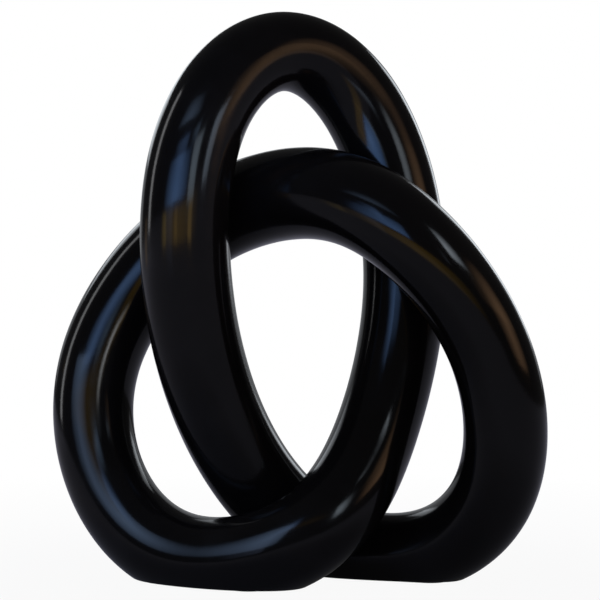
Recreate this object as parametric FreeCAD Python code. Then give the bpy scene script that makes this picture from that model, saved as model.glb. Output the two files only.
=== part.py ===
import FreeCAD, Part

import math
import os

os.makedirs("parts", exist_ok=True)
Vector = FreeCAD.Vector

# Sizes of the whole knot, in millimetres
overall_width = 267.0
overall_height = 300.0
tube_diameter = 44.0
crossing_gap = 2.0
foot_cut = 9.0

# Walls of the hollow castings
casting_wall = 5.0
foot_wall = 6.0
vent_diameter = 4.0

# Joints between the castings
weld_width = 3.0
sleeve_wall = 3.0
sleeve_length = 20.0
seat_step = 1.0
sleeve_clearance = 0.1
sleeve_end_clearance = 0.5
sleeve_chamfer = 1.0

# Felt pads under the two ground flats
pad_thickness = 1.0
pad_margin = 8.0

# Cutters run past the faces that they cut by this much
overrun = 2.0

# Corners of the closed path that the tube's centreline is bent along, from the crown down the front
# of the left strand. Across is a share of half the centreline's width, up is a share of its height
# above its lowest place, and back is a share of the offset that parts two crossing strands.
corner_shares = [
    ("crown", -0.07, 1.040, 0.00),
    ("left_shoulder", -0.42, 0.881, -1.15),
    ("left_strand", -0.506, 0.590, -1.05),
    ("under_left", -0.382, 0.266, -0.20),
    ("base_back", 0.015, 0.012, 1.00),
    ("right_foot", 0.65, -0.014, 0.50),
    ("right_toe", 1.019, 0.142, -0.40),
    ("right_flank", 0.972, 0.420, -0.65),
    ("arch_right", 0.54, 0.660, -1.20),
    ("arch_top", 0.04, 0.742, 0.10),
    ("left_lobe", -0.61, 0.655, 1.55),
    ("left_flank", -1.03, 0.400, 0.70),
    ("left_toe", -0.963, 0.131, 0.20),
    ("left_foot", -0.528, -0.030, -0.60),
    ("base_front", 0.163, 0.038, -1.83),
    ("right_rise", 0.408, 0.246, 0.50),
    ("right_strand", 0.555, 0.590, 1.15),
    ("right_shoulder", 0.325, 0.926, 1.50),
]

# Each casting, with the first and the last corner that it is bent round
castings = {
    "left_strand_casting": ("left_shoulder", "under_left"),
    "right_foot_casting": ("base_back", "right_toe"),
    "arch_casting": ("right_flank", "arch_top"),
    "left_lobe_casting": ("left_lobe", "left_toe"),
    "left_foot_casting": ("left_foot", "right_rise"),
    "crown_casting": ("right_strand", "crown"),
}

# Each joint, with the corner that its seam follows
joints = {
    "crown": "crown",
    "base": "under_left",
    "right": "right_toe",
    "arch": "arch_top",
    "left": "left_toe",
    "middle": "right_rise",
}

# The corners whose bends rest on the ground
feet = ["left_foot", "right_foot"]

# Sizes worked out from those above
tube_radius = tube_diameter / 2
bore_radius = tube_radius - casting_wall
sleeve_radius = bore_radius + seat_step
counterbore_radius = sleeve_radius + sleeve_clearance
counterbore_depth = sleeve_length / 2 + sleeve_end_clearance
strand_offset = (tube_diameter + crossing_gap) / 2
ground_height = pad_thickness
centreline_low = ground_height + tube_radius - foot_cut
centreline_rise = overall_height - tube_radius - centreline_low
centreline_reach = (overall_width - tube_diameter) / 2
corner_names = [name for name, _, _, _ in corner_shares]


def corner(index):
    """A corner of the path, counted round the closed knot."""
    _, across, up, back = corner_shares[index % len(corner_shares)]
    return Vector(
        across * centreline_reach,
        back * strand_offset,
        centreline_low + up * centreline_rise,
    )


def heading(index):
    """The direction of the straight run that leaves a corner."""
    return (corner(index + 1) - corner(index)).normalize()


def seam(index):
    """The middle of the straight run that leaves a corner."""
    return (corner(index) + corner(index + 1)) / 2


def bend(index):
    """The start, middle and end of the arc that rounds a corner, and its radius."""
    arriving = heading(index - 1)
    leaving = heading(index)
    turn = arriving.getAngle(leaving)
    reach = min((corner(index) - seam(index - 1)).Length, (seam(index) - corner(index)).Length)
    inward = (leaving - arriving).normalize()
    start = corner(index) - arriving * reach
    middle = corner(index) + inward * (reach * math.tan(turn / 4))
    end = corner(index) + leaving * reach
    return start, middle, end, reach / math.tan(turn / 2)


def bent_bar(first, last, radius):
    """A round bar that follows the path from the seam before one corner to the seam after another."""
    edges = []
    here = seam(first - 1)
    for index in range(first, last + 1):
        start, middle, end, _ = bend(index)
        if not here.isEqual(start, Part.Precision.confusion()):
            edges.append(Part.makeLine(here, start))
        edges.append(Part.Arc(start, middle, end).toShape())
        here = end
    if not here.isEqual(seam(last), Part.Precision.confusion()):
        edges.append(Part.makeLine(here, seam(last)))
    section = Part.Face(Part.Wire(Part.makeCircle(radius, seam(first - 1), heading(first - 1))))
    return Part.Wire(edges).makePipe(section)


def plug(index, radius, length):
    """A cylinder on the tube's axis, centred on a seam."""
    axis = heading(index)
    return Part.makeCylinder(radius, length, seam(index) - axis * (length / 2), axis)


def slab_above(height):
    """Everything higher than a level, as wide as the knot with the cutters' overrun."""
    half_width = overall_width / 2 + overrun
    depth = 2 * (half_width + overrun)
    return Part.makeBox(
        2 * half_width,
        depth,
        overall_height,
        Vector(-half_width, -depth / 2, height),
    )


def lowest_of_bend(index):
    """The lowest point of a bend's centreline, its direction there and its radius."""
    start, middle, end, radius = bend(index)
    arc = Part.Arc(start, middle, end)
    steps = 200
    span = arc.LastParameter - arc.FirstParameter
    places = [arc.FirstParameter + span * step / steps for step in range(steps + 1)]
    lowest = min(places, key=lambda place: arc.value(place).z)
    direction = Vector(*arc.tangent(lowest)[0])
    return arc.value(lowest), direction, radius


def casting(first, last):
    """A hollow casting with ground flats, a counterbored seat at each end and room for half of each weld."""
    outside = bent_bar(first, last, tube_radius).common(slab_above(ground_height))
    core = bent_bar(first, last, bore_radius).common(slab_above(ground_height + foot_wall))
    body = outside.cut(core)
    for index in (first - 1, last):
        body = body.cut(plug(index, counterbore_radius, 2 * counterbore_depth))
        body = body.cut(plug(index, tube_radius + overrun, weld_width))
    for name in feet:
        index = corner_names.index(name)
        if first <= index <= last:
            place, _, _ = lowest_of_bend(index)
            body = body.cut(Part.makeCylinder(vent_diameter / 2, place.z, Vector(place.x, place.y, 0)))
    return body


def joint_sleeve(index):
    """A turned sleeve that lines up two castings and backs their weld."""
    axis = heading(index)
    start = seam(index) - axis * (sleeve_length / 2)
    sleeve = plug(index, sleeve_radius, sleeve_length)
    rims = [edge for edge in sleeve.Edges if edge.Closed]
    sleeve = sleeve.makeChamfer(sleeve_chamfer, rims)
    return sleeve.cut(Part.makeCylinder(sleeve_radius - sleeve_wall, sleeve_length, start, axis))


def seam_weld(index):
    """A weld that fills the gap between two castings, ground flush with the tube."""
    return plug(index, tube_radius, weld_width).cut(plug(index, counterbore_radius, weld_width))


def foot_pad(index):
    """A felt pad with round ends, cut to sit inside a ground flat."""
    place, direction, radius = lowest_of_bend(index)
    depth = ground_height + tube_radius - place.z
    outer_radius = radius + tube_radius
    half_length = math.sqrt(outer_radius ** 2 - (outer_radius - depth) ** 2) - pad_margin
    half_width = math.sqrt(tube_radius ** 2 - (tube_radius - depth) ** 2) - pad_margin
    along = Vector(direction.x, direction.y, 0).normalize()
    aside = Vector(-along.y, along.x, 0)
    middle = Vector(place.x, place.y, 0)
    run = along * (half_length - half_width)
    side = aside * half_width
    outline = Part.Wire(
        [
            Part.makeLine(middle - run + side, middle + run + side),
            Part.Arc(middle + run + side, middle + along * half_length, middle + run - side).toShape(),
            Part.makeLine(middle + run - side, middle - run - side),
            Part.Arc(middle - run - side, middle - along * half_length, middle - run + side).toShape(),
        ]
    )
    return Part.Face(outline).extrude(Vector(0, 0, pad_thickness))


def path_points(index, steps):
    """Points along the arc at a corner."""
    start, middle, end, _ = bend(index)
    return Part.Arc(start, middle, end).toShape().discretize(steps)


def least_gap():
    """The least gap between strands that cross, measured on points of the centreline."""
    steps = 24
    count = len(corner_names)
    strands = [path_points(index, steps) for index in range(count)]
    gaps = []
    for one in range(count):
        for other in range(one + 4, min(count, one + count - 3)):
            gaps += [(a - b).Length for a in strands[one] for b in strands[other]]
    return min(gaps) - tube_diameter


def write(name, shape):
    shape.exportStep(f"parts/{name}.step")
    print(f"{name}: {len(shape.Solids)} solid, {shape.Volume / 1000:.1f} cm3, valid {shape.isValid()}")


for name, (first_corner, last_corner) in castings.items():
    first = corner_names.index(first_corner)
    last = first + (corner_names.index(last_corner) - first) % len(corner_names)
    write(name, casting(first, last))
for name, last_corner in joints.items():
    index = corner_names.index(last_corner)
    write(f"{name}_sleeve", joint_sleeve(index))
    write(f"{name}_weld", seam_weld(index))
for name in feet:
    write(f"{name}_pad", foot_pad(corner_names.index(name)))
print("bend radii:", {name: round(bend(index)[3]) for index, name in enumerate(corner_names)})
print(f"least gap between crossing strands: {least_gap():.2f} mm")
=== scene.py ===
import math

import bmesh
import bpy
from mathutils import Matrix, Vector


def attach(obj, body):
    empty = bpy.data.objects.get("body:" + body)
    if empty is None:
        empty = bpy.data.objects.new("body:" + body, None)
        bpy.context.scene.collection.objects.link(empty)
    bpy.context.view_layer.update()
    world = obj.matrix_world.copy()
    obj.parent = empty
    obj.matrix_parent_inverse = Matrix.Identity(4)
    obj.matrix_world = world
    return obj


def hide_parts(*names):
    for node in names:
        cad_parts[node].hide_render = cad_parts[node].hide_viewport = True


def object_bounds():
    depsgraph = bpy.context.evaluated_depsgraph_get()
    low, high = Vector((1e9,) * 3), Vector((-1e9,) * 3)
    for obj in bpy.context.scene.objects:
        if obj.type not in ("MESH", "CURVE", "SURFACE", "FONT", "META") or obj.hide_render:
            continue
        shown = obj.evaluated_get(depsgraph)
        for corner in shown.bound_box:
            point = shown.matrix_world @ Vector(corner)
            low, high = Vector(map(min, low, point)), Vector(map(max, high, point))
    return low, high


bl_info = {
    "name": "Metal Knot Sculpture",
    "version": (1, 0, 0),
    "blender": (4, 5, 0),
    "location": "3D View > Sidebar > Knot",
    "description": "Dresses the packed knot in black lacquer, with felt feet, on a plain studio floor",
    "category": "Object",
}

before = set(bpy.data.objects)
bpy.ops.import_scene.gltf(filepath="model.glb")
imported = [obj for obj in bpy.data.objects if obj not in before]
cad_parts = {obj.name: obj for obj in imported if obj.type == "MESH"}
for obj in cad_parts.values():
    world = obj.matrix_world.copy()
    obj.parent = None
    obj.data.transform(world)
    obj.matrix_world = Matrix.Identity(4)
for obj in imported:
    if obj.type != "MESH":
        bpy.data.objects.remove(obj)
solid_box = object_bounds()

# Corners of the path that the tube follows, from the crown down the front of the left strand. Across is
# a share of half the centreline's width, up is a share of its height above its lowest place, back is a
# share of the offset that parts two crossing strands, and stout is a share of the tube's mean thickness.
corner_shares = [
    ("crown", -0.07, 1.040, 0.00, 0.91),
    ("left_shoulder", -0.42, 0.881, -1.15, 1.015),
    ("left_strand", -0.506, 0.590, -1.05, 1.08),
    ("under_left", -0.382, 0.266, -0.20, 1.055),
    ("base_back", 0.015, 0.012, 1.00, 1.01),
    ("right_foot", 0.65, -0.014, 0.50, 0.95),
    ("right_toe", 1.019, 0.142, -0.40, 1.00),
    ("right_flank", 0.972, 0.420, -0.65, 0.95),
    ("arch_right", 0.54, 0.660, -1.20, 1.02),
    ("arch_top", 0.04, 0.742, 0.10, 1.13),
    ("left_lobe", -0.61, 0.655, 1.55, 1.075),
    ("left_flank", -1.03, 0.400, 0.70, 0.99),
    ("left_toe", -0.963, 0.131, 0.20, 0.97),
    ("left_foot", -0.528, -0.030, -0.60, 1.02),
    ("base_front", 0.163, 0.038, -1.75, 1.06),
    ("right_rise", 0.408, 0.246, 0.50, 0.965),
    ("right_strand", 0.555, 0.590, 1.15, 1.02),
    ("right_shoulder", 0.325, 0.926, 1.50, 1.035),
]

# A smooth curve cuts inside its control points, so each is moved out from its neighbours' mean by this
# share. An order of four makes the curve cubic.
outward_share = 0.09
curve_order = 4

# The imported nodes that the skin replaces, and those that only get a material
joint_names = ["crown", "base", "right", "arch", "left", "middle"]
casting_nodes = [
    "left_strand_casting",
    "right_foot_casting",
    "arch_casting",
    "left_lobe_casting",
    "left_foot_casting",
    "crown_casting",
]
skinned_nodes = casting_nodes + [f"{joint}_weld" for joint in joint_names]
sleeve_nodes = [f"{joint}_sleeve" for joint in joint_names]
pad_nodes = ["left_foot_pad", "right_foot_pad"]

# Softboxes: azimuth from the camera's, elevation, width, height and the grid's spread, all as angles in
# degrees, distance in metres, the spot aimed at as shares of the knot's half width and of its height,
# tint, and brightness, where 1 looks white
softboxes = [
    ("left_window", -23.0, 25.0, 40.0, 14.0, 40.0, 0.38, (-0.90, 0.42), (0.28, 0.50, 1.00), 4.3),
    ("left_window_sill", -33.0, 7.0, 20.0, 17.0, 46.0, 0.5, (-0.75, 0.22), (0.50, 0.64, 1.00), 1.1),
    ("foot_window", -42.0, 27.0, 50.0, 28.0, 52.0, 0.25, (-0.30, 0.04), (0.42, 0.62, 1.00), 4.8),
    ("foot_gleam", 30.0, 22.0, 18.0, 14.0, 24.0, 0.28, (0.20, 0.10), (0.75, 0.88, 1.00), 6.5),
    ("arch_window", -28.0, 15.0, 76.0, 12.0, 50.0, 0.28, (0.25, 0.98), (0.45, 0.65, 1.00), 4.8),
    ("strand_pane", -25.0, -4.0, 80.0, 17.0, 60.0, 0.22, (-0.52, 0.81), (0.25, 0.48, 1.00), 6.6),
    ("strand_gleam", 12.0, 3.0, 13.0, 19.0, 50.0, 0.25, (-0.45, 0.72), (0.66, 0.82, 1.00), 4.4),
    ("strand_side_pane", 40.0, 5.0, 11.0, 17.0, 50.0, 0.25, (-0.45, 0.70), (0.66, 0.80, 1.00), 4.8),
    ("right_window", 36.0, 29.0, 20.0, 20.0, 28.0, 0.26, (0.66, 0.58), (0.80, 0.90, 1.00), 9.0),
    ("middle_pane", 4.0, 22.0, 20.0, 14.0, 26.0, 0.40, (-0.85, 0.44), (0.44, 0.66, 1.00), 4.2),
    ("lobe_gleam", 20.0, 10.0, 8.0, 8.0, 18.0, 0.30, (-0.84, 0.36), (0.90, 0.95, 1.00), 9.0),
    ("far_left_pane", -99.0, 20.0, 8.0, 40.0, 180.0, 2.0, (0.00, 0.50), (0.97, 0.98, 1.00), 3.0),
    ("back_left_window", -150.0, 24.0, 34.0, 16.0, 60.0, 0.6, (-0.20, 0.50), (0.88, 0.94, 1.00), 2.0),
    ("back_right_window", 146.0, 20.0, 14.0, 34.0, 60.0, 0.6, (0.20, 0.50), (0.88, 0.94, 1.00), 3.0),
    ("back_fill", 180.0, 13.0, 90.0, 26.0, 180.0, 1.2, (0.00, 0.50), (0.90, 0.94, 1.00), 0.3),
    ("gold_strip_far", -105.0, -9.0, 9.0, 12.0, 50.0, 0.25, (-0.45, 0.70), (1.00, 0.64, 0.28), 0.7),
    ("gold_strip_left", -44.0, -10.5, 9.0, 10.0, 50.0, 0.25, (-0.45, 0.70), (1.00, 0.70, 0.14), 1.9),
    ("gold_strip_middle", -17.0, -10.5, 7.0, 10.0, 50.0, 0.25, (-0.45, 0.70), (1.00, 0.62, 0.16), 1.2),
    ("gold_strip_right", 14.0, -10.5, 8.0, 10.0, 50.0, 0.25, (-0.45, 0.70), (1.00, 0.64, 0.18), 2.0),
    ("gold_card", -14.0, -10.5, 116.0, 11.0, 96.0, 0.25, (-0.45, 0.70), (1.00, 0.60, 0.06), 1.1),
    ("side_warm_card", 71.0, 13.0, 56.0, 45.0, 40.0, 0.6, (-0.30, 0.92), (1.00, 0.58, 0.32), 2.2),
    ("crown_warm_card", 66.0, 4.0, 76.0, 26.0, 56.0, 0.4, (0.12, 0.95), (1.00, 0.60, 0.32), 1.3),
]

# The white of the backdrop and of the floor's glow, at a strength of 1
white = (1.0, 1.0, 1.0, 1.0)


class KnotShape(bpy.types.PropertyGroup):
    """Sizes of the knot's skin."""

    overall_width: bpy.props.FloatProperty(
        name="Overall width",
        description="Width of the knot across both lobes",
        default=0.267,
        unit="LENGTH",
    )
    overall_height: bpy.props.FloatProperty(
        name="Overall height",
        description="Height of the knot on its pads",
        default=0.300,
        unit="LENGTH",
    )
    tube_diameter: bpy.props.FloatProperty(
        name="Tube diameter",
        description="Mean diameter of the tube",
        default=0.044,
        unit="LENGTH",
    )
    crossing_gap: bpy.props.FloatProperty(
        name="Crossing gap",
        description="Gap between two strands that cross",
        default=0.002,
        unit="LENGTH",
    )
    foot_cut: bpy.props.FloatProperty(
        name="Foot cut",
        description="Depth ground off the tube at each foot",
        default=0.009,
        unit="LENGTH",
    )
    pad_thickness: bpy.props.FloatProperty(
        name="Pad thickness",
        description="Thickness of the felt under each foot",
        default=0.001,
        unit="LENGTH",
    )
    rim_rounding: bpy.props.FloatProperty(
        name="Rim rounding",
        description="Height over which the ground flats' rims are rounded",
        default=0.0008,
        unit="LENGTH",
    )
    polish_wave: bpy.props.FloatProperty(
        name="Polish wave",
        description="Depth of the long waves that hand polishing leaves",
        default=0.00010,
        unit="LENGTH",
    )
    rings_per_corner: bpy.props.IntProperty(
        name="Rings per corner",
        description="Rings of the skin for each corner of the path",
        default=48,
    )
    ring_points: bpy.props.IntProperty(
        name="Ring points",
        description="Points round each ring of the skin",
        default=96,
    )


class KnotFinish(bpy.types.PropertyGroup):
    """Colours and gloss of the knot's finishes."""

    lacquer: bpy.props.FloatVectorProperty(
        name="Lacquer",
        description="Colour of the lacquer",
        default=(0.0024, 0.0021, 0.0023),
        subtype="COLOR",
    )
    lacquer_bloom: bpy.props.FloatVectorProperty(
        name="Lacquer bloom",
        description="Colour where handling has dulled the lacquer",
        default=(0.0038, 0.0034, 0.0037),
        subtype="COLOR",
    )
    lacquer_roughness: bpy.props.FloatProperty(
        name="Lacquer roughness",
        description="Least roughness of the lacquer",
        default=0.12,
        subtype="FACTOR",
    )
    lacquer_ior: bpy.props.FloatProperty(
        name="Lacquer IOR",
        description="How strongly the lacquer mirrors light from the front",
        default=1.28,
    )
    aluminium: bpy.props.FloatVectorProperty(
        name="Aluminium",
        description="Colour of the turned sleeves",
        default=(0.72, 0.72, 0.73),
        subtype="COLOR",
    )
    felt: bpy.props.FloatVectorProperty(
        name="Felt",
        description="Colour of the felt pads",
        default=(0.030, 0.030, 0.032),
        subtype="COLOR",
    )


class KnotStudio(bpy.types.PropertyGroup):
    """The floor, the backdrop's light and the camera."""

    floor_colour: bpy.props.FloatVectorProperty(
        name="Floor",
        description="Colour of the floor",
        default=(0.50, 0.50, 0.62),
        subtype="COLOR",
    )
    # Painted shade: a darker floor colour close to the knot, standing in for its shade on the floor and
    # in the lacquer's reflections
    floor_painted_shade_colour: bpy.props.FloatVectorProperty(
        name="Floor by the knot",
        description="Colour of the floor close to the knot, in its lee",
        default=(0.20, 0.20, 0.25),
        subtype="COLOR",
    )
    floor_radius: bpy.props.FloatProperty(
        name="Floor radius",
        description="Radius of the round floor",
        default=12.0,
        unit="LENGTH",
    )
    shadow_share: bpy.props.FloatProperty(
        name="Shadow share",
        description="How much of the knot's shadow the white floor shows",
        default=0.06,
        subtype="FACTOR",
    )
    ambient: bpy.props.FloatProperty(
        name="Ambient",
        description="Brightness of the light from all round",
        default=0.45,
    )
    mirrored_share: bpy.props.FloatProperty(
        name="Mirrored share",
        description="How much of the white backdrop the lacquer mirrors",
        default=0.06,
        subtype="FACTOR",
    )
    camera_azimuth: bpy.props.FloatProperty(
        name="Camera azimuth",
        description="Turn of the camera round the knot",
        default=math.radians(8.0),
        subtype="ANGLE",
    )
    camera_distance: bpy.props.FloatProperty(
        name="Camera distance",
        description="Distance of the camera from the knot's middle",
        default=0.9502,
        unit="LENGTH",
    )
    camera_height: bpy.props.FloatProperty(
        name="Camera height",
        description="Height of the camera over the floor",
        default=0.148,
        unit="LENGTH",
    )
    camera_aside: bpy.props.FloatProperty(
        name="Camera aside",
        description="Step of the camera to its right",
        default=0.0033,
        unit="LENGTH",
    )
    camera_lens: bpy.props.FloatProperty(
        name="Camera lens",
        description="Focal length of the camera",
        default=108.0,
        unit="CAMERA",
    )
    camera_sensor: bpy.props.FloatProperty(
        name="Camera sensor",
        description="Width of the camera's sensor",
        default=36.0,
        unit="CAMERA",
    )


class Maths:
    """A socket of a node tree that is used in plain arithmetic."""

    def __init__(self, tree, socket):
        self.tree = tree
        self.socket = socket

    def joined(self, operation, one, other):
        """The output of a new Math node on two values, each a number or a socket."""
        node = self.tree.nodes.new("ShaderNodeMath")
        node.operation = operation
        for place, value in enumerate((one, other)):
            if isinstance(value, Maths):
                self.tree.links.new(value.socket, node.inputs[place])
            else:
                node.inputs[place].default_value = value
        return Maths(self.tree, node.outputs[0])

    def __add__(self, other):
        return self.joined("ADD", self, other)

    __radd__ = __add__

    def __sub__(self, other):
        return self.joined("SUBTRACT", self, other)

    def __rsub__(self, other):
        return self.joined("SUBTRACT", other, self)

    def __mul__(self, other):
        return self.joined("MULTIPLY", self, other)

    __rmul__ = __mul__

    def at_most(self, other):
        return self.joined("MINIMUM", self, other)


def add_node(tree, kind, settings=None, values=None):
    """Adds a node, gives it its settings, and sets or links its sockets by name or place."""
    node = tree.nodes.new(kind)
    for name, value in (settings or {}).items():
        setattr(node, name, value)
    for place, value in (values or {}).items():
        socket = node.inputs[place]
        if isinstance(value, Maths):
            tree.links.new(value.socket, socket)
        elif isinstance(value, bpy.types.NodeSocket):
            tree.links.new(value, socket)
        else:
            socket.default_value = value
    return node


def ramp(tree, value, low, high):
    """Nought below one number, one above another and straight between them."""
    values = {"Value": value, "From Min": low, "From Max": high, "To Min": 0.0, "To Max": 1.0}
    return Maths(tree, add_node(tree, "ShaderNodeMapRange", {"clamp": True}, values).outputs[0])


def noise(tree, vector, scale, detail, roughness=0.5):
    """Soft random patches, with scale in patches to the metre."""
    values = {"Vector": vector, "Scale": scale, "Detail": detail, "Roughness": roughness}
    return Maths(tree, add_node(tree, "ShaderNodeTexNoise", {}, values).outputs[0])


def blend_colours(tree, factor, one, other):
    """A mix of two colours, on the sockets that a Mix node has for colours."""
    values = {0: factor, 6: (*one, 1.0), 7: (*other, 1.0)}
    return add_node(tree, "ShaderNodeMix", {"data_type": "RGBA"}, values).outputs[2]


def new_material(name):
    """A new material, with its node tree and its shader."""
    material = bpy.data.materials.new(name)
    material.use_nodes = True
    return material, material.node_tree, material.node_tree.nodes["Principled BSDF"]


def bump(tree, shader, height, depth):
    """Raises the surface by a height from nought to one, times a depth in metres."""
    node = add_node(tree, "ShaderNodeBump", {}, {"Strength": 1.0, "Distance": depth, "Height": height})
    tree.links.new(node.outputs[0], shader.inputs["Normal"])


def lacquer_material(finish):
    """Gloss black lacquer, with faint orange peel, dust on top and patches dulled by handling."""
    handled_roughness = 0.05
    dust_roughness = 0.25
    peel_depth = 0.000010
    material, tree, shader = new_material("black_lacquer")
    place = add_node(tree, "ShaderNodeTexCoord").outputs["Object"]
    facing = add_node(tree, "ShaderNodeNewGeometry").outputs["Normal"]
    upward = Maths(tree, add_node(tree, "ShaderNodeSeparateXYZ", {}, {"Vector": facing}).outputs["Z"])

    patches = noise(tree, place, scale=22.0, detail=4.0, roughness=0.6)
    specks = noise(tree, place, scale=1400.0, detail=2.0, roughness=0.6)
    peel = noise(tree, place, scale=420.0, detail=2.0)
    handled = ramp(tree, patches, low=0.48, high=0.72)
    dust = ramp(tree, specks, low=0.70, high=0.78) * ramp(tree, upward, low=0.0, high=0.9)

    colour = blend_colours(tree, handled, finish.lacquer, finish.lacquer_bloom)
    tree.links.new(colour, shader.inputs["Base Color"])
    roughness = handled * handled_roughness + dust * dust_roughness + finish.lacquer_roughness
    tree.links.new(roughness.socket, shader.inputs["Roughness"])
    shader.inputs["IOR"].default_value = finish.lacquer_ior
    bump(tree, shader, peel, peel_depth)
    return material


def aluminium_material(finish):
    """Bare turned aluminium, dulled in patches, with fine tool marks."""
    darker_share = 0.82
    bare_roughness = 0.24
    dulled_roughness = 0.18
    mark_roughness = 0.08
    mark_depth = 0.00002
    material, tree, shader = new_material("bare_aluminium")
    place = add_node(tree, "ShaderNodeTexCoord").outputs["Object"]
    patches = noise(tree, place, scale=90.0, detail=3.0, roughness=0.6)
    marks = noise(tree, place, scale=2600.0, detail=1.0)
    dulled = ramp(tree, patches, low=0.40, high=0.70)
    darker = tuple(darker_share * channel for channel in finish.aluminium)
    tree.links.new(blend_colours(tree, dulled, finish.aluminium, darker), shader.inputs["Base Color"])
    roughness = dulled * dulled_roughness + marks * mark_roughness + bare_roughness
    tree.links.new(roughness.socket, shader.inputs["Roughness"])
    shader.inputs["Metallic"].default_value = 1.0
    bump(tree, shader, marks, mark_depth)
    return material


def felt_material(finish):
    """Pressed wool felt, matted in fine tufts."""
    paler_share = 1.9
    felt_roughness = 0.86
    tuft_roughness = 0.10
    felt_sheen = 0.4
    tuft_depth = 0.00025
    material, tree, shader = new_material("felt")
    place = add_node(tree, "ShaderNodeTexCoord").outputs["Object"]
    tufts = noise(tree, place, scale=1500.0, detail=4.0, roughness=0.7)
    patches = noise(tree, place, scale=160.0, detail=3.0, roughness=0.6)
    matted = ramp(tree, patches, low=0.35, high=0.70)
    paler = tuple(paler_share * channel for channel in finish.felt)
    tree.links.new(blend_colours(tree, tufts * matted, finish.felt, paler), shader.inputs["Base Color"])
    tree.links.new((tufts * tuft_roughness + felt_roughness).socket, shader.inputs["Roughness"])
    shader.inputs["Sheen Weight"].default_value = felt_sheen
    bump(tree, shader, tufts, tuft_depth)
    return material


def control_points(shape):
    """The smooth path's control points, each with the tube's radius there.

    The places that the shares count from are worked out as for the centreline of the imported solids.
    """
    tube_radius = shape.tube_diameter / 2
    strand_offset = (shape.tube_diameter + shape.crossing_gap) / 2
    low = shape.pad_thickness + tube_radius - shape.foot_cut
    rise = shape.overall_height - tube_radius - low
    reach = (shape.overall_width - shape.tube_diameter) / 2
    corners = [
        Vector((across * reach, back * strand_offset, low + up * rise))
        for _, across, up, back, _ in corner_shares
    ]
    points = []
    for index, (_, _, _, _, stout) in enumerate(corner_shares):
        here = corners[index]
        between = (corners[index - 1] + corners[(index + 1) % len(corners)]) / 2
        points.append((here + outward_share * (here - between), stout * tube_radius))
    return points


def knot_path(shape):
    """The closed smooth curve that the tube is swept along."""
    points = control_points(shape)
    curve = bpy.data.curves.new("knot_path", "CURVE")
    curve.dimensions = "3D"
    spline = curve.splines.new("NURBS")
    spline.points.add(len(points) - 1)
    for point, (place, radius) in zip(spline.points, points):
        point.co = (*place, 1.0)
        point.radius = radius
    spline.order_u = curve_order
    spline.use_cyclic_u = True
    path = bpy.data.objects.new("knot_path", curve)
    bpy.context.scene.collection.objects.link(path)
    return path


def skin_tree():
    """The Geometry Nodes that sweep a round section along the path and wave its surface."""
    sockets = {
        "Path": "NodeSocketObject",
        "Rings per corner": "NodeSocketInt",
        "Ring points": "NodeSocketInt",
        "Polish wave": "NodeSocketFloat",
        "Finish": "NodeSocketMaterial",
    }
    tree = bpy.data.node_groups.new("swept_skin", "GeometryNodeTree")
    for name, kind in sockets.items():
        tree.interface.new_socket(name, in_out="INPUT", socket_type=kind)
    tree.interface.new_socket("Skin", in_out="OUTPUT", socket_type="NodeSocketGeometry")
    given = add_node(tree, "NodeGroupInput").outputs
    position = add_node(tree, "GeometryNodeInputPosition").outputs[0]
    normal = add_node(tree, "GeometryNodeInputNormal").outputs[0]
    thickness = add_node(tree, "GeometryNodeInputRadius").outputs[0]

    path = add_node(
        tree, "GeometryNodeObjectInfo", {"transform_space": "ORIGINAL"}, {"Object": given["Path"]}
    )
    fine = add_node(
        tree,
        "GeometryNodeSetSplineResolution",
        {},
        {"Geometry": path.outputs["Geometry"], "Resolution": given["Rings per corner"]},
    )
    section = add_node(
        tree,
        "GeometryNodeCurvePrimitiveCircle",
        {"mode": "RADIUS"},
        {"Resolution": given["Ring points"], "Radius": 1.0},
    )
    swept = add_node(
        tree,
        "GeometryNodeCurveToMesh",
        {},
        {"Curve": fine.outputs[0], "Profile Curve": section.outputs["Curve"], "Scale": thickness},
    )

    waves = noise(tree, position, scale=38.0, detail=1.0)
    height = (waves - 0.5) * 2.0 * Maths(tree, given["Polish wave"])
    push = add_node(tree, "ShaderNodeVectorMath", {"operation": "SCALE"}, {0: normal, "Scale": height})
    waved = add_node(
        tree, "GeometryNodeSetPosition", {}, {"Geometry": swept.outputs[0], "Offset": push.outputs[0]}
    )
    smooth = add_node(tree, "GeometryNodeSetShadeSmooth", {}, {"Geometry": waved.outputs[0]})
    realized = add_node(tree, "GeometryNodeRealizeInstances", {}, {"Geometry": smooth.outputs[0]})
    finished = add_node(
        tree,
        "GeometryNodeSetMaterial",
        {},
        {"Geometry": realized.outputs[0], "Material": given["Finish"]},
    )
    add_node(tree, "NodeGroupOutput", {}, {0: finished.outputs[0]})
    return tree


def swept_mesh(shape, material):
    """The tube's mesh, as the Geometry Nodes sweep it along the path."""
    path = knot_path(shape)
    holder = bpy.data.objects.new("skin_holder", bpy.data.meshes.new("skin_holder"))
    bpy.context.scene.collection.objects.link(holder)
    tree = skin_tree()
    modifier = holder.modifiers.new("swept_skin", "NODES")
    modifier.node_group = tree
    given = {
        "Path": path,
        "Rings per corner": shape.rings_per_corner,
        "Ring points": shape.ring_points,
        "Polish wave": shape.polish_wave,
        "Finish": material,
    }
    for item in tree.interface.items_tree:
        if item.in_out == "INPUT":
            modifier[item.identifier] = given[item.name]
    graph = bpy.context.evaluated_depsgraph_get()
    mesh = bpy.data.meshes.new_from_object(holder.evaluated_get(graph))
    bpy.data.objects.remove(holder)
    bpy.data.objects.remove(path)
    return mesh


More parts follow.
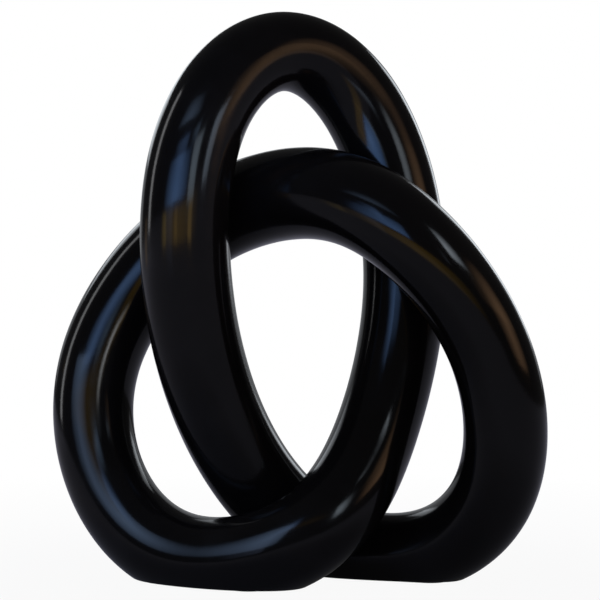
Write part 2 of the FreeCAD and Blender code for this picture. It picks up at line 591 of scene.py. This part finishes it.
def grind_feet(mesh, level, rounding):
    """Flattens what is under a level, with rims rounded over a height above and below it.

    The rim's height follows a parabola, which meets the flat and the tube's side without a kink.
    """
    steps = 4
    merge_distance = 1e-7
    solid = bmesh.new()
    solid.from_mesh(mesh)
    for step in range(-steps, steps + 1):
        height = level + rounding * step / steps
        reach = level + 2 * rounding
        near = [face for face in solid.faces if min(point.co.z for point in face.verts) < reach]
        edges = dict.fromkeys(edge for face in near for edge in face.edges)
        points = dict.fromkeys(point for face in near for point in face.verts)
        bmesh.ops.bisect_plane(
            solid,
            geom=[*points, *edges, *near],
            dist=merge_distance,
            plane_co=(0.0, 0.0, height),
            plane_no=(0.0, 0.0, 1.0),
        )
    for point in solid.verts:
        over = point.co.z - level
        if over <= -rounding:
            point.co.z = level
        elif over < rounding:
            point.co.z = level + (over + rounding) ** 2 / (4 * rounding)
    for face in solid.faces:
        face.smooth = True
    solid.to_mesh(mesh)
    solid.free()


def dress(names, material):
    """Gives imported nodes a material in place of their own."""
    for name in names:
        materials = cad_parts[name].data.materials
        materials.clear()
        materials.append(material)


class KNOT_OT_lacquered_skin(bpy.types.Operator):
    """Sweeps the lacquered skin along the knot's path and grinds its two feet flat"""

    bl_idname = "knot.lacquered_skin"
    bl_label = "Lacquered skin"

    def execute(self, context):
        shape = context.scene.knot_shape
        mesh = swept_mesh(shape, lacquer_material(context.scene.knot_finish))
        grind_feet(mesh, shape.pad_thickness, shape.rim_rounding)
        mesh.name = "lacquered_skin"
        skin = bpy.data.objects.new("lacquered_skin", mesh)
        context.scene.collection.objects.link(skin)
        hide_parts(*skinned_nodes)
        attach(skin, "root")
        return {"FINISHED"}


class KNOT_OT_joint_sleeves(bpy.types.Operator):
    """Gives the turned sleeves inside the joints their bare aluminium"""

    bl_idname = "knot.joint_sleeves"
    bl_label = "Joint sleeves"

    def execute(self, context):
        dress(sleeve_nodes, aluminium_material(context.scene.knot_finish))
        return {"FINISHED"}


class KNOT_OT_foot_pads(bpy.types.Operator):
    """Gives the two foot pads their felt"""

    bl_idname = "knot.foot_pads"
    bl_label = "Foot pads"

    def execute(self, context):
        dress(pad_nodes, felt_material(context.scene.knot_finish))
        return {"FINISHED"}


def seen_share(tree, mirrored_share):
    """One for camera and transmission rays, and the mirrored share for glossy rays."""
    rays = add_node(tree, "ShaderNodeLightPath").outputs
    camera = Maths(tree, rays["Is Camera Ray"])
    glossy = Maths(tree, rays["Is Glossy Ray"])
    transmission = Maths(tree, rays["Is Transmission Ray"])
    return (camera + glossy * mirrored_share + transmission).at_most(1.0)


def floor_material(studio):
    """A matt floor that the camera sees as white, but for a share of the shadow round the knot, with
    painted shade in a darker colour close to it.
    """
    # Distances from the knot's middle, in metres, between which the shadow and the painted shade of the
    # darker floor fade out
    shadow_reach = (0.15, 0.60)
    painted_shade_reach = (0.10, 0.30)
    material, tree, _ = new_material("studio_floor")
    tree.nodes.clear()
    place = add_node(tree, "ShaderNodeTexCoord").outputs["Object"]
    length = add_node(tree, "ShaderNodeVectorMath", {"operation": "LENGTH"}, {0: place})
    away = Maths(tree, length.outputs["Value"])
    plain = ramp(tree, away, *shadow_reach) * studio.shadow_share + (1.0 - studio.shadow_share)
    glowing = seen_share(tree, studio.mirrored_share) * plain
    # Painted shade: the floor's colour is darker close to the knot, which also darkens the floor that the
    # lacquer mirrors, and it turns paler further out
    far = ramp(tree, away, *painted_shade_reach)
    colour = blend_colours(tree, far, studio.floor_painted_shade_colour, studio.floor_colour)
    matt = add_node(tree, "ShaderNodeBsdfDiffuse", {}, {"Color": colour})
    glow = add_node(tree, "ShaderNodeEmission", {}, {"Color": white, "Strength": 1.0})
    layers = {0: glowing, 1: matt.outputs[0], 2: glow.outputs[0]}
    mixed = add_node(tree, "ShaderNodeMixShader", {}, layers)
    add_node(tree, "ShaderNodeOutputMaterial", {}, {0: mixed.outputs[0]})
    return material


def studio_floor(studio):
    """A pale round floor under the knot."""
    disc_sides = 128
    mesh = bpy.data.meshes.new("floor")
    disc = bmesh.new()
    bmesh.ops.create_circle(disc, cap_ends=True, segments=disc_sides, radius=studio.floor_radius)
    disc.to_mesh(mesh)
    disc.free()
    mesh.materials.append(floor_material(studio))
    floor = bpy.data.objects.new("floor", mesh)
    bpy.context.scene.collection.objects.link(floor)


def studio_world(studio):
    """Even light from all round, which the camera sees as white."""
    world = bpy.data.worlds.new("studio")
    world.use_nodes = True
    bpy.context.scene.world = world
    tree = world.node_tree
    tree.nodes.clear()
    seen = seen_share(tree, studio.mirrored_share)
    rays = add_node(tree, "ShaderNodeLightPath").outputs
    lit = (1.0 - Maths(tree, rays["Is Glossy Ray"])) * (1.0 - seen) * studio.ambient
    light = add_node(tree, "ShaderNodeBackground", {}, {"Color": white, "Strength": seen + lit})
    add_node(tree, "ShaderNodeOutputWorld", {}, {0: light.outputs[0]})


def towards(bearing, tilt):
    """The direction of a bearing, counted from the front, and a tilt over the ground."""
    level = math.cos(tilt)
    return Vector((math.sin(bearing) * level, -math.cos(bearing) * level, math.sin(tilt)))


def seen_length(angle, distance):
    """The length that looks as wide as an angle from a distance."""
    return 2 * distance * math.tan(math.radians(angle) / 2)


def lamp_power(brightness, area, spread):
    """The power that makes a softbox look as bright as asked from straight ahead, whatever its spread."""
    half_spread = spread / 2
    return 4 * brightness * area * (1 - half_spread / math.tan(half_spread))


def studio_softboxes(studio):
    """Softboxes round the knot, each facing the spot that it is aimed at."""
    _, high = solid_box
    for name, azimuth, elevation, wide, tall, spread, distance, aim_shares, tint, brightness in softboxes:
        across = seen_length(wide, distance)
        up = seen_length(tall, distance)
        light = bpy.data.lights.new(name, "AREA")
        light.shape = "RECTANGLE"
        light.size = across
        light.size_y = up
        light.spread = math.radians(spread)
        light.color = tint
        light.energy = lamp_power(brightness, across * up, math.radians(spread))
        box = bpy.data.objects.new(name, light)
        outward = towards(studio.camera_azimuth + math.radians(azimuth), math.radians(elevation))
        across_share, up_share = aim_shares
        aim = Vector((across_share * high.x, 0.0, up_share * high.z))
        box.location = aim + outward * distance
        box.rotation_euler = outward.to_track_quat("Z", "Y").to_euler()
        box.visible_camera = False
        bpy.context.scene.collection.objects.link(box)


def studio_camera(studio):
    """The camera, level and turned as in the photograph."""
    data = bpy.data.cameras.new("camera")
    data.lens = studio.camera_lens
    data.sensor_width = studio.camera_sensor
    camera = bpy.data.objects.new("camera", data)
    bearing = studio.camera_azimuth
    right = Vector((math.cos(bearing), math.sin(bearing), 0.0))
    back = towards(bearing, 0.0)
    up = Vector((0.0, 0.0, 1.0))
    camera.location = (
        right * studio.camera_aside + back * studio.camera_distance + up * studio.camera_height
    )
    camera.rotation_euler = (math.radians(90.0), 0.0, bearing)
    bpy.context.scene.collection.objects.link(camera)
    bpy.context.scene.camera = camera


class KNOT_OT_studio(bpy.types.Operator):
    """Sets up the pale floor, the softboxes, the backdrop's light and the camera"""

    bl_idname = "knot.studio"
    bl_label = "Studio"

    def execute(self, context):
        studio = context.scene.knot_studio
        studio_floor(studio)
        studio_world(studio)
        studio_softboxes(studio)
        studio_camera(studio)
        context.scene.view_settings.view_transform = "Standard"
        return {"FINISHED"}


operators = (KNOT_OT_lacquered_skin, KNOT_OT_joint_sleeves, KNOT_OT_foot_pads, KNOT_OT_studio)


class KNOT_PT_panel(bpy.types.Panel):
    """Sizes, finishes and steps of the knot sculpture"""

    bl_idname = "KNOT_PT_panel"
    bl_label = "Metal Knot Sculpture"
    bl_space_type = "VIEW_3D"
    bl_region_type = "UI"
    bl_category = "Knot"

    def draw(self, context):
        layout = self.layout
        for group in (context.scene.knot_shape, context.scene.knot_finish, context.scene.knot_studio):
            box = layout.box()
            for name in group.__annotations__:
                box.prop(group, name)
        for operator in operators:
            layout.operator(operator.bl_idname)


groups = {"knot_shape": KnotShape, "knot_finish": KnotFinish, "knot_studio": KnotStudio}


def register():
    for group in groups.values():
        bpy.utils.register_class(group)
    for operator in operators:
        bpy.utils.register_class(operator)
    bpy.utils.register_class(KNOT_PT_panel)
    for name, group in groups.items():
        setattr(bpy.types.Scene, name, bpy.props.PointerProperty(type=group))


def unregister():
    for name in groups:
        delattr(bpy.types.Scene, name)
    bpy.utils.unregister_class(KNOT_PT_panel)
    for operator in reversed(operators):
        bpy.utils.unregister_class(operator)
    for group in reversed(list(groups.values())):
        bpy.utils.unregister_class(group)


def main():
    register()
    bpy.ops.knot.lacquered_skin()
    bpy.ops.knot.joint_sleeves()
    bpy.ops.knot.foot_pads()
    bpy.ops.knot.studio()


if __name__ == "__main__":
    main()
